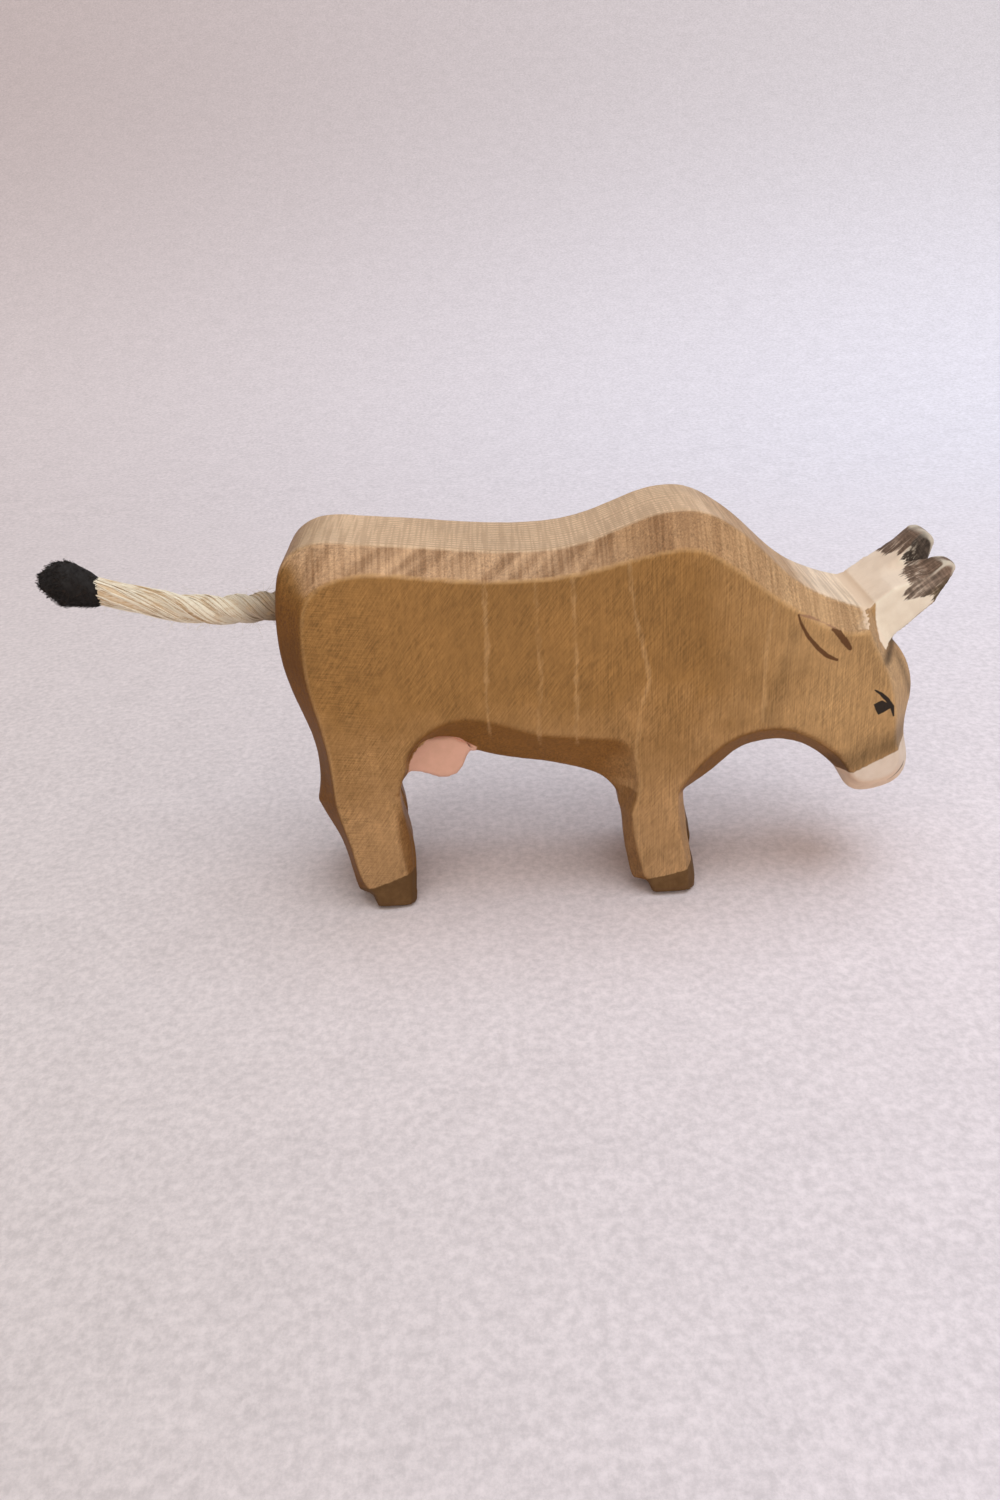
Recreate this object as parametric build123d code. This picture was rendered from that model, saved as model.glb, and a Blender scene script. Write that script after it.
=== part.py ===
from build123d import *
import math
import os

# Cow figurine: one block of maple, whittled from a sawn plank, with a rope tail.
# Millimetres. X runs from the rump to the horns, Z is up, the hooves stand on Z = 0.
# The origin is under the middle of the block.

# Driving dimensions of the block
body_length = 133.0
body_height = 84.0
plank_thickness = 30.0
bevel_depth = 5.3          # how far the whittled bevels reach in from each side of the plank
foot_bevel_depth = 2.6     # the same at the hooves, where the knife took less
knee_height = 21.0         # above this the bevels have their full depth

# Legs
leg_slot_width = 8.0       # saw slot that parts the left legs from the right ones
front_slot_height = 21.5
hind_slot_height = 29.0
hind_stagger = 3.4         # the far hind foot stands this much further back
toe_facet_width = 2.1      # light facet down the outer front edge of each hind leg
toe_facet_depth = 1.1

# Horns
horn_root_width = 21.0
horn_tip_width = 17.0
horn_notch_width = 8.4
horn_notch_depth = 5.2
horn_tip_round = 2.4
horn_corner_share = 0.45   # rounding of each tip's corners, of the tip's width

# Udder
udder_width = 18.4

# Tail: a stub of three-strand rope, glued in a drilled hole
rope_diameter = 6.0
tail_length = 37.6         # free stretch, from the rump to the blackened end
tail_hole_shares = (-0.502, 0.789)  # mouth of the hole, of the body's length and height
hole_clearance = 0.2
hole_depth = 12.0
arc_share = 0.45           # how far each bend reaches along the shorter run beside it
tuft_length = 12.0
cut_overrun = 5.0          # how far cutting tools reach past the wood

side_y = plank_thickness / 2
edge_y = side_y - bevel_depth
half_length = body_length / 2

# The block's profile, clockwise from the hock over the back. Each row is a point of the
# outer edge and the matching point of the flat side, whittled further in:
# edge x, edge z, side x, side z, as shares of the body's length and height.
back_shares = [
    (-0.473, 0.308, -0.438, 0.323),
    (-0.465, 0.378, -0.439, 0.396),
    (-0.464, 0.437, -0.441, 0.462),
    (-0.472, 0.512, -0.447, 0.542),
    (-0.488, 0.600, -0.454, 0.613),
    (-0.499, 0.685, -0.458, 0.676),
    (-0.500, 0.765, -0.457, 0.735),
    (-0.494, 0.850, -0.453, 0.802),
    (-0.477, 0.929, -0.443, 0.851),
    (-0.444, 0.965, -0.420, 0.885),
    (-0.375, 0.966, -0.368, 0.908),
    (-0.281, 0.949, -0.278, 0.896),
    (-0.165, 0.929, -0.165, 0.877),
    (-0.090, 0.928, -0.090, 0.879),
    (-0.020, 0.949, -0.023, 0.894),
    (0.037, 0.984, 0.035, 0.915),
    (0.086, 1.000, 0.086, 0.927),
    (0.122, 0.995, 0.116, 0.924),
    (0.158, 0.968, 0.145, 0.902),
    (0.210, 0.903, 0.192, 0.846),
    (0.256, 0.833, 0.237, 0.793),
    (0.287, 0.798, 0.274, 0.755),
    (0.332, 0.765, 0.323, 0.713),
    (0.376, 0.744, 0.368, 0.709),
]
crown_shares = [
    (0.376, 0.744, 0.368, 0.709),
    (0.413, 0.665, 0.381, 0.662),
]
face_shares = [
    (0.413, 0.665, 0.381, 0.662),
    (0.431, 0.633, 0.389, 0.637),
    (0.447, 0.588, 0.402, 0.595),
    (0.455, 0.524, 0.415, 0.536),
    (0.451, 0.458, 0.423, 0.470),
    (0.452, 0.413, 0.426, 0.417),
    (0.461, 0.349, 0.435, 0.375),
    (0.462, 0.320, 0.433, 0.349),
    (0.448, 0.276, 0.421, 0.321),
    (0.420, 0.255, 0.402, 0.310),
    (0.387, 0.251, 0.376, 0.312),
    (0.371, 0.265, 0.367, 0.324),
    (0.361, 0.301, 0.361, 0.336),
]
throat_shares = [
    (0.361, 0.301, 0.361, 0.336),
    (0.332, 0.348, 0.342, 0.383),
    (0.289, 0.396, 0.301, 0.435),
    (0.259, 0.408, 0.260, 0.465),
    (0.229, 0.406, 0.224, 0.468),
    (0.199, 0.392, 0.188, 0.454),
    (0.156, 0.335, 0.135, 0.395),
    (0.124, 0.296, 0.107, 0.338),
    (0.109, 0.281, 0.095, 0.304),
]
front_shin_shares = [
    (0.109, 0.281, 0.095, 0.304),
    (0.112, 0.202, 0.098, 0.202),
    (0.116, 0.144, 0.104, 0.143),
    (0.129, 0.036, 0.114, 0.048),
]
front_hoof_shares = [
    (0.129, 0.036, 0.114, 0.048),
    (0.122, 0.000, 0.108, 0.010),
    (0.060, 0.000, 0.058, 0.011),
    (0.054, 0.031, 0.055, 0.048),
    (0.032, 0.037, 0.050, 0.069),
]
front_calf_shares = [
    (0.032, 0.037, 0.050, 0.069),
    (0.026, 0.125, 0.044, 0.132),
    (0.024, 0.194, 0.039, 0.190),
    (0.022, 0.250, 0.036, 0.267),
    (0.008, 0.290, 0.029, 0.400),
]
belly_shares = [
    (0.008, 0.290, 0.029, 0.400),
    (-0.010, 0.317, 0.004, 0.462),
    (-0.026, 0.335, -0.026, 0.469),
    (-0.066, 0.362, -0.068, 0.476),
    (-0.117, 0.383, -0.120, 0.488),
    (-0.169, 0.399, -0.162, 0.513),
    (-0.220, 0.424, -0.216, 0.537),
]
groin_shares = [
    (-0.220, 0.424, -0.216, 0.537),
    (-0.247, 0.455, -0.244, 0.536),
    (-0.270, 0.465, -0.269, 0.523),
    (-0.292, 0.458, -0.292, 0.499),
    (-0.310, 0.438, -0.311, 0.470),
    (-0.324, 0.381, -0.326, 0.405),
]
hind_shin_shares = [
    (-0.324, 0.381, -0.326, 0.405),
    (-0.341, 0.305, -0.338, 0.321),
    (-0.336, 0.256, -0.336, 0.268),
    (-0.328, 0.208, -0.333, 0.214),
    (-0.325, 0.149, -0.334, 0.155),
    (-0.329, 0.036, -0.341, 0.043),
]
hind_hoof_shares = [
    (-0.329, 0.036, -0.341, 0.043),
    (-0.338, 0.000, -0.347, 0.011),
    (-0.390, 0.000, -0.388, 0.011),
    (-0.400, 0.029, -0.395, 0.048),
    (-0.424, 0.045, -0.407, 0.080),
]
hind_calf_shares = [
    (-0.424, 0.045, -0.407, 0.080),
    (-0.432, 0.110, -0.416, 0.121),
    (-0.441, 0.179, -0.423, 0.186),
    (-0.456, 0.242, -0.431, 0.252),
    (-0.473, 0.308, -0.438, 0.323),
]
profile_stretches = [
    (back_shares, "curve"),
    (crown_shares, "line"),
    (face_shares, "curve"),
    (throat_shares, "curve"),
    (front_shin_shares, "curve"),
    (front_hoof_shares, "line"),
    (front_calf_shares, "curve"),
    (belly_shares, "curve"),
    (groin_shares, "curve"),
    (hind_shin_shares, "curve"),
    (hind_hoof_shares, "line"),
    (hind_calf_shares, "curve"),
]

# The horn block seen from the side, from the back of its root round the tips
horn_shares = [
    (0.366, 0.735),
    (0.376, 0.747),
    (0.477, 0.868),
    (0.500, 0.838),
    (0.476, 0.745),
    (0.413, 0.665),
    (0.380, 0.640),
]

# The udder seen from the side, as shares of the body's length and height
udder_shares = [
    (-0.330, 0.420),
    (-0.324, 0.380),
    (-0.301, 0.372),
    (-0.279, 0.358),
    (-0.262, 0.357),
    (-0.247, 0.367),
    (-0.234, 0.396),
    (-0.222, 0.426),
]

# The tail's route from the mouth of its hole, as shares of the tail's length
tail_route_shares = [
    (0.000, 0.000, 0.000),
    (-0.178, 0.005, -0.016),
    (-0.361, 0.013, -0.019),
    (-0.534, 0.011, 0.005),
    (-0.696, 0.003, 0.050),
    (-0.848, 0.000, 0.095),
    (-0.978, 0.005, 0.138),
]

# The blackened end: station along the tail and radius, as shares of its length
tuft_shares = [
    (0.00, 0.27),
    (0.30, 0.38),
    (0.62, 0.40),
    (0.86, 0.30),
    (1.00, 0.13),
]


def scaled(rows):
    """Side view points from rows of shares of the block's length and height."""
    return [(x * body_length, z * body_height) for x, z in rows]


def foot_stagger(x, z, y_sign):
    """How far back a point of the far hind leg stands."""
    drop = (hind_slot_height - z) / hind_slot_height
    if y_sign < 0 or x > -half_length / 2 or drop < 0:
        return 0
    return -hind_stagger * min(2 * drop, 1)


def edge_point(row, y_sign):
    """Point where the bevel meets the outer edge. The bevel is shallower at the hooves."""
    x, z = scaled([row[:2]])[0]
    fade = min(z / knee_height, 1)
    depth = foot_bevel_depth + (bevel_depth - foot_bevel_depth) * fade
    return Vector(x + foot_stagger(x, z, y_sign), y_sign * (side_y - depth), z)


def side_point(row, y_sign):
    """Point where the bevel meets the flat side of the plank."""
    x, z = scaled([row[2:]])[0]
    return Vector(x + foot_stagger(x, z, y_sign), y_sign * side_y, z)


def profile_wire(place, y_sign):
    """Closed profile on one side of the cow, its points placed by the given function."""
    edges = []
    for rows, kind in profile_stretches:
        points = [place(row, y_sign) for row in rows]
        if kind == "line":
            edges += [Edge.make_line(a, b) for a, b in zip(points, points[1:])]
        else:
            edges.append(Edge.make_spline(points))
    return Wire(edges)


def carved_block():
    """Plank sawn to the profile and bevelled all round: side, edge, edge, side."""
    near_side = profile_wire(side_point, -1)
    near_edge = profile_wire(edge_point, -1)
    far_edge = profile_wire(edge_point, 1)
    far_side = profile_wire(side_point, 1)
    return Solid.make_loft([near_side, near_edge, far_edge, far_side], ruled=True)


def slab(points, width):
    """Upright slab with the given side view, centred on the middle plane."""
    outline = Polyline(points, close=True)
    return extrude(make_face(Plane.XZ * outline), width / 2, both=True)


def horn_plan(reach):
    """The pair of horns seen along their thickness: tapered, with a notch and round tips."""
    tip_half = horn_tip_width / 2
    notch_half = horn_notch_width / 2
    outline = Polyline(
        [
            (-reach, -horn_root_width / 2),
            (0, -horn_root_width / 2),
            (reach, -tip_half),
            (reach, -notch_half),
            (reach - horn_notch_depth, 0),
            (reach, notch_half),
            (reach, tip_half),
            (0, horn_root_width / 2),
            (-reach, horn_root_width / 2),
        ],
        close=True,
    )
    plan = make_face(outline)
    ends = plan.vertices().group_by(Axis.X)[-1]
    return fillet(ends, (tip_half - notch_half) * horn_corner_share)


def horn_block():
    """Pair of horns: their side view and their plan, one cut by the other."""
    points = scaled(horn_shares)
    root, tip_top, tip_end = points[1], points[2], points[3]
    side_view = slab(points, horn_root_width)
    rise = math.atan2(tip_top[1] - root[1], tip_top[0] - root[0])
    along = (math.cos(rise), 0, math.sin(rise))
    across = (-math.sin(rise), 0, math.cos(rise))
    frame = Plane(origin=(root[0], 0, root[1]), x_dir=along, z_dir=across)
    reach = (tip_end[0] - root[0]) * along[0] + (tip_end[1] - root[1]) * along[2]
    horns = side_view & extrude(frame * horn_plan(reach), reach, both=True)
    corner = Vector(tip_top[0], 0, tip_top[1])
    tips = [e for e in horns.edges() if Vector(e.center().X, 0, e.center().Z) == corner]
    return fillet(tips, horn_tip_round)


def leg_slot(x_from, x_to, height):
    """Saw slot between a pair of legs, with a round top."""
    radius = leg_slot_width / 2
    length = x_to - x_from
    walls = Box(length, leg_slot_width, height - radius + cut_overrun)
    drop = (height - radius - cut_overrun) / 2
    middle = (x_from + x_to) / 2
    top = Pos(middle, 0, height - radius) * Rot(0, 90, 0) * Cylinder(radius, length)
    return Pos(middle, 0, drop) * walls + top


def toe_facet(y_sign):
    """Wedge that pares the outer front edge of a hind leg."""
    front = side_point(hind_shin_shares[-2], y_sign).X
    outline = Polyline(
        [
            (front - toe_facet_width, y_sign * side_y),
            (front + toe_facet_width, y_sign * (side_y - 2 * toe_facet_depth)),
            (front + toe_facet_width, y_sign * (side_y + cut_overrun)),
            (front - toe_facet_width, y_sign * (side_y + cut_overrun)),
        ],
        close=True,
    )
    return extrude(make_face(outline), hind_slot_height)


def tail_points():
    """Points of the tail's route, from the mouth of its hole on the rump."""
    start_x = tail_hole_shares[0] * body_length
    start_z = tail_hole_shares[1] * body_height
    return [
        Vector(start_x + x * tail_length, y * tail_length, start_z + z * tail_length)
        for x, y, z in tail_route_shares
    ]


def tail_frame():
    """Plane at the mouth of the tail hole, looking out along the rope's first run."""
    start, following = tail_points()[:2]
    return Plane(origin=start, z_dir=following - start)


def body():
    """The whole block: carved plank, horns, udder, leg slots, facets and tail hole."""
    block = carved_block() + horn_block()
    block += slab(scaled(udder_shares), udder_width)
    block -= leg_slot(-body_length, -half_length / 2, hind_slot_height)
    block -= leg_slot(-half_length / 4, half_length / 2, front_slot_height)
    block -= toe_facet(-1) + toe_facet(1)
    mouth = tail_frame()
    bottom = Plane(origin=mouth.origin - mouth.z_dir * hole_depth, z_dir=mouth.z_dir)
    hole = bottom * Circle(rope_diameter / 2 + hole_clearance)
    return block - extrude(hole, hole_depth + cut_overrun)


def tail_root():
    """End of the rope that is glued in the hole."""
    return extrude(tail_frame() * Circle(rope_diameter / 2), -(hole_depth - hole_clearance))


def bend_radii(route):
    """Radius of the arc at each inner point of a route."""
    radii = []
    for before, here, after in zip(route, route[1:], route[2:]):
        half_turn = math.radians((here - before).get_angle(after - here)) / 2
        shorter = min((here - before).length, (after - here).length)
        radii.append(arc_share * shorter / math.tan(half_turn))
    return radii


def tail_rope():
    """Free stretch of the rope, as a plain tube along its route."""
    route = tail_points()
    radii = bend_radii(route)
    path = FilletPolyline(*route, radius=radii)
    tube = sweep(tail_frame() * Circle(rope_diameter / 2), path=path)
    section = math.pi * rope_diameter**2 / 4
    print("tail bend radii", [round(r, 1) for r in radii])
    print("tail length", round(path.length, 2))
    print("tail volume over section times length", round(tube.volume / section / path.length, 4))
    return tube


def tail_tuft():
    """Frayed end of the rope, dipped in black, as a closed lump with a blunt tip."""
    before, end = tail_points()[-2:]
    outline = [(radius * tuft_length, station * tuft_length) for station, radius in tuft_shares]
    half = make_face(Plane.XZ * Polyline([(0, 0), *outline, (0, tuft_length)], close=True))
    return Plane(origin=end, z_dir=end - before) * revolve(half, Axis.Z)


parts = {
    "wooden_body": body(),
    "tail_root": tail_root(),
    "tail_rope": tail_rope(),
    "tail_tuft": tail_tuft(),
}

os.makedirs("parts", exist_ok=True)
for name, shape in parts.items():
    shape.label = name
    export_step(shape, f"parts/{name}.step")
    box = shape.bounding_box()
    print(name, "volume", round(shape.volume, 1), "from", box.min, "to", box.max)
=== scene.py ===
import math
import random

import bmesh
import bpy
import numpy as np
from mathutils import Matrix, Vector, noise


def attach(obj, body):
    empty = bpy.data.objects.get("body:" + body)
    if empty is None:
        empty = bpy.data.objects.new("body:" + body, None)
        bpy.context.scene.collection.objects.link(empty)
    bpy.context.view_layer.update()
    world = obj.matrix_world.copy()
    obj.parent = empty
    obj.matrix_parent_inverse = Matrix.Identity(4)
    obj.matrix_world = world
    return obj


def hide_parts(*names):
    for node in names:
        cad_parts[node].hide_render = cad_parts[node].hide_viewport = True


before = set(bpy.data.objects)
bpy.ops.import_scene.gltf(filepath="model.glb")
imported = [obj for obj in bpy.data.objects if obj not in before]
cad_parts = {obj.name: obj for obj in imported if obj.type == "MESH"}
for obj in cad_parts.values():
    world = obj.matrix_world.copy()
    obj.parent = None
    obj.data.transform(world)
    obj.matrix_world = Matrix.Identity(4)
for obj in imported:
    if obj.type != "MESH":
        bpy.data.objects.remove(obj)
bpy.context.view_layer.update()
print("frame loaded:", sorted(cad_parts))

scene = bpy.context.scene
mm = 0.001


def newObject(name, data):
    piece = bpy.data.objects.new(name, data)
    scene.collection.objects.link(piece)
    return piece


def smoothFaces(mesh):
    mesh.polygons.foreach_set("use_smooth", [True] * len(mesh.polygons))


def pieceFrom(bm, name):
    mesh = bpy.data.meshes.new(name)
    bm.to_mesh(mesh)
    bm.free()
    smoothFaces(mesh)
    return newObject(name, mesh)


def anyWay(chance, reach):
    return Vector([chance.uniform(-reach, reach) for _ in range(3)])


def addRing(bm, layer, points, shade):
    ring = [bm.verts.new(point) for point in points]
    for vertex in ring:
        vertex[layer] = shade
    return ring


def skin(bm, rings):  # faces between the rings, and a cap at each end
    for a, b in zip(rings, rings[1:]):
        for k in range(len(a)):
            n = (k + 1) % len(a)
            bm.faces.new((a[k], a[n], b[n], b[k]))
    bm.faces.new(list(reversed(rings[0])))
    bm.faces.new(rings[-1])


# Camera at the photograph's viewpoint, found from the plank's parallel edges
cameraSettings = {
    "place": (-0.0226, -0.21717, 0.14421),
    "turns": ((0.36, "Z"), (62.3, "X"), (-3.28, "Z")),  # degrees
    "lens": 27.05,
    "sensor": 36.0,
}


def addCamera(s):
    data = bpy.data.cameras.new("photoCamera")
    data.sensor_fit = "VERTICAL"
    data.sensor_height = s["sensor"]
    data.lens = s["lens"]
    data.clip_start = 0.01
    camera = newObject("photoCamera", data)
    placed = Matrix.Translation(s["place"])
    for angle, axis in s["turns"]:
        placed = placed @ Matrix.Rotation(math.radians(angle), 4, axis)
    camera.matrix_world = placed
    scene.camera = camera


addCamera(cameraSettings)
print("camera placed")


# Small helpers for shader trees
def tone(red, green, blue):  # 0 to 255 as seen on screen
    def straight(v):
        v /= 255
        return v / 12.92 if v <= 0.04045 else ((v + 0.055) / 1.055) ** 2.4
    return (straight(red), straight(green), straight(blue), 1.0)


def fill(tree, node, inputs):  # links sockets and sets plain values
    for key, value in inputs.items():
        if isinstance(value, bpy.types.NodeSocket):
            tree.links.new(value, node.inputs[key])
        else:
            node.inputs[key].default_value = value


def addNode(tree, kind, inputs={}, **settings):
    node = tree.nodes.new("ShaderNode" + kind)
    for key, value in settings.items():
        setattr(node, key, value)
    fill(tree, node, inputs)
    return node


def maths(tree, operation, a, b=0.0, c=None, clamp=False):
    inputs = {0: a, 1: b} if c is None else {0: a, 1: b, 2: c}
    return addNode(tree, "Math", inputs, operation=operation, use_clamp=clamp).outputs[0]


def combined(tree, operation, values):  # one value at a time, which keeps the shader small
    found = None
    for value in values:
        found = value if found is None else maths(tree, operation, found, value)
    return found


def times(tree, *values):
    return combined(tree, "MULTIPLY", values)


def timesPlus(tree, a, b, c):
    return maths(tree, "MULTIPLY_ADD", a, b, c)


def plus(tree, a, b):
    return maths(tree, "ADD", a, b)


def minus(tree, a, b):
    return maths(tree, "SUBTRACT", a, b)


def vectors(tree, operation, a, b=(0, 0, 0)):
    return addNode(tree, "VectorMath", {0: a, 1: b}, operation=operation).outputs


def split(tree, vector):
    return addNode(tree, "SeparateXYZ", {0: vector}).outputs


def ramp(tree, value, low, high, toLow=0.0, toHigh=1.0):  # smooth step from low to high
    inputs = {"Value": value, "From Min": low, "From Max": high, "To Min": toLow, "To Max": toHigh}
    return addNode(tree, "MapRange", inputs, interpolation_type="SMOOTHSTEP").outputs["Result"]


def blendColours(tree, amount, first, second, kind="MIX"):
    inputs = {0: amount, 6: first, 7: second}
    return addNode(tree, "Mix", inputs, data_type="RGBA", blend_type=kind).outputs[2]


def noiseOf(tree, vector, scale, detail=3.0, rough=0.55):  # scale: one number, or three
    if isinstance(scale, tuple):
        vector, scale = addNode(tree, "Mapping", {"Vector": vector, "Scale": scale}).outputs[0], 1.0
    inputs = {"Vector": vector, "Scale": scale, "Detail": detail, "Roughness": rough}
    return addNode(tree, "TexNoise", inputs).outputs["Fac"]


def newGroup(name, vectorInputs, plainInputs, output):
    tree = bpy.data.node_groups.new(name, "ShaderNodeTree")
    for kind, labels in (("Vector", vectorInputs), ("Float", plainInputs)):
        for label in labels:
            tree.interface.new_socket(label, in_out="INPUT", socket_type="NodeSocket" + kind)
    tree.interface.new_socket(output, in_out="OUTPUT", socket_type="NodeSocketFloat")
    start = tree.nodes.new("NodeGroupInput")
    end = tree.nodes.new("NodeGroupOutput")
    return tree, start.outputs, end.inputs[0]


def useGroup(tree, group, inputs):
    return addNode(tree, "Group", inputs, node_tree=group).outputs


def millimetres(tree):  # place on the piece, in millimetres
    place = addNode(tree, "TexCoord").outputs["Object"]
    return addNode(tree, "VectorMath", {0: place, "Scale": 1 / mm}, operation="SCALE").outputs[0]


def relief(tree, height, strength, depth):
    return addNode(tree, "Bump", {"Strength": strength, "Distance": depth, "Height": height}).outputs[0]


def dress(piece, material):
    piece.data.materials.clear()
    piece.data.materials.append(material)


def newMaterial(name):
    material = bpy.data.materials.new(name)
    material.use_nodes = True
    tree = material.node_tree
    tree.nodes.clear()
    shader = addNode(tree, "BsdfPrincipled")
    addNode(tree, "OutputMaterial", {"Surface": shader.outputs[0]})
    return material, tree, shader


# The tail's route, as the rope's own smooth line
tailRope = {
    "route": [
        (-0.066766, 0.0, 0.066276),
        (-0.073459, 0.000188, 0.065674),
        (-0.08034, 0.000489, 0.065562),
        (-0.086844, 0.000414, 0.066464),
        (-0.092936, 0.000113, 0.068156),
        (-0.098651, 0.0, 0.069848),
        (-0.103539, 0.000188, 0.071465),
    ],
    "diameter": 0.006,
    "length": 0.0376,
    "strandOffset": 0.0015,  # strand middles from the rope's middle
    "strandWide": 0.00182,  # half width round the rope
    "strandDeep": 0.00148,  # half width out from the middle
    "heartSides": 14,  # each strand's solid heart, under its fibres; its darker tone is painted shade between the fibres
    "heartSize": 0.9,
    # painted shade in the gaps between the fibres
    "heartShadeTone": 0.28,
    "fibresPerStrand": 54,
    "fibreRadius": 0.000115,
    "rings": 72,
    "startAngle": 35.0,
    "turnsNear": 84.0,  # turns per metre where the rope leaves the rump
    "turnsFar": 9.0,  # and where it has worked loose
    "seed": 11,
}

# The rope's end in its hole
hiddenEnd = {
    "length": 0.0117,
    "rings": 12,
    "fibresPerStrand": 20,
    "strandOffset": 0.00135,
    "strandWide": 0.0016,
    "strandDeep": 0.0014,
    "seed": 5,
}


def readSpline(s):
    curve = bpy.data.curves.new("tailRoute", "CURVE")
    curve.dimensions = "3D"
    curve.resolution_u = 24
    spline = curve.splines.new("NURBS")
    spline.points.add(len(s["route"]) - 1)
    for point, place in zip(spline.points, s["route"]):
        point.co = (*place, 1.0)
    spline.order_u = 3
    spline.use_endpoint_u = True
    holder = newObject("tailRoute", curve)
    bpy.context.view_layer.update()
    line = bpy.data.meshes.new_from_object(holder)
    points = [v.co.copy() for v in line.vertices]
    bpy.data.objects.remove(holder)
    bpy.data.meshes.remove(line)
    return points


def evenStations(points, count):  # places and directions, evenly spaced along the line
    lengths = [0.0]
    for a, b in zip(points, points[1:]):
        lengths.append(lengths[-1] + (b - a).length)
    stations, index = [], 0
    for i in range(count + 1):
        want = lengths[-1] * i / count
        while index < len(points) - 2 and lengths[index + 1] < want:
            index += 1
        share = (want - lengths[index]) / (lengths[index + 1] - lengths[index])
        stations.append(points[index].lerp(points[index + 1], share))
    frames = []
    for i, place in enumerate(stations):
        ahead = stations[min(i + 1, count)] - stations[max(i - 1, 0)]
        along = ahead.normalized()
        side = along.cross(Vector((0, 0, 1))).normalized()
        frames.append((place, along, side.cross(along), side))
    return frames, lengths[-1]


def addTube(bm, places, radii, sides, tones, layer):  # thin tube through places
    rings = []
    for i, place in enumerate(places):
        along = (places[min(i + 1, len(places) - 1)] - places[max(i - 1, 0)]).normalized()
        side = along.orthogonal() if i == 0 else side - along * side.dot(along)
        side.normalize()
        up = along.cross(side)
        points = []
        for k in range(sides):
            angle = 2 * math.pi * k / sides
            points.append(place + (side * math.cos(angle) + up * math.sin(angle)) * radii[i])
        rings.append(addRing(bm, layer, points, tones[i]))
    skin(bm, rings)


def strandTurn(s, share):  # how far the strands have turned, loosening towards the tuft
    loosened = s["turnsFar"] * share + (s["turnsNear"] - s["turnsFar"]) * (1 - (1 - share) ** 2.6) / 2.6
    return math.radians(s["startAngle"]) + 2 * math.pi * s["length"] * loosened


def strandPoint(s, station, strand, share, angle, lift):  # a point on a strand's surface
    place, _, up, side = station
    around = strandTurn(s, share) + strand * 2 * math.pi / 3
    out = up * math.cos(around) + side * math.sin(around)
    across = side * math.cos(around) - up * math.sin(around)
    loose = max(0.0, (share - 0.35) / 0.65)
    offset = s["strandOffset"] * (1 - 0.16 * loose)
    wide = s["strandWide"] * (1 + 0.1 * loose) * lift
    deep = s["strandDeep"] * (1 - 0.07 * loose) * lift
    return place + out * (offset + deep * math.cos(angle)) + across * wide * math.sin(angle)


def buildRope(s, name, stations):
    chance = random.Random(s["seed"])
    bm = bmesh.new()
    layer = bm.verts.layers.float.new("fibreTone")
    count = len(stations) - 1
    for strand in range(3):  # solid hearts under the fibres
        rings = []
        for i, station in enumerate(stations):
            angles = [2 * math.pi * k / s["heartSides"] for k in range(s["heartSides"])]
            points = [strandPoint(s, station, strand, i / count, a, s["heartSize"]) for a in angles]
            rings.append(addRing(bm, layer, points, s["heartShadeTone"]))
        skin(bm, rings)
    for strand in range(3):
        for f in range(s["fibresPerStrand"]):
            angle = 2 * math.pi * (f + chance.uniform(-0.35, 0.35)) / s["fibresPerStrand"]
            drift = chance.uniform(-0.5, 0.5)
            lift = chance.uniform(0.93, 1.03)
            shade = min(1.0, max(0.0, chance.gauss(0.62, 0.2)))
            phase = chance.uniform(0, 50)
            first = 0 if chance.random() < 0.72 else chance.randint(0, count // 2)
            last = count if chance.random() < 0.8 else chance.randint(count // 2, count)
            places, radii, tones = [], [], []
            for i in range(first, last + 1):
                share = i / count
                sway = noise.noise(Vector((phase, share * 9, strand * 3.1)))
                puff = noise.noise(Vector((phase + 20, share * 6, strand)))
                turned = angle + drift * share + 0.22 * sway
                places.append(strandPoint(s, stations[i], strand, share, turned, lift + 0.05 * puff))
                radii.append(s["fibreRadius"] * (1 + 0.35 * puff))
                tones.append(min(1.0, max(0.0, shade + 0.22 * sway)))
            addTube(bm, places, radii, 4, tones, layer)
    return pieceFrom(bm, name)


ropeLine = readSpline(tailRope)
ropeStations, ropeLength = evenStations(ropeLine, tailRope["rings"])
rope = buildRope(tailRope, "tailRope", ropeStations)
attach(rope, "root")
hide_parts("tail_rope")
print("rope laid,", round(ropeLength * 1000, 1), "mm")


def buildRopeEnd(s, h, name):
    start = Vector(s["route"][0])
    direction = (start - Vector(s["route"][1])).normalized()
    line = [start + direction * (h["length"] * i / h["rings"]) for i in range(h["rings"] + 1)]
    stations, _ = evenStations(line, h["rings"])
    return buildRope({**s, **h, "length": s["length"]}, name, stations)


ropeEnd = buildRopeEnd(tailRope, hiddenEnd, "tailRopeEnd")
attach(ropeEnd, "root")
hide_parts("tail_root")


# Loose hairs along the rope
ropeHairs = {
    "count": 150,
    "radius": 0.000028,
    "longest": 0.0046,
    "seed": 23,
}


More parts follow.
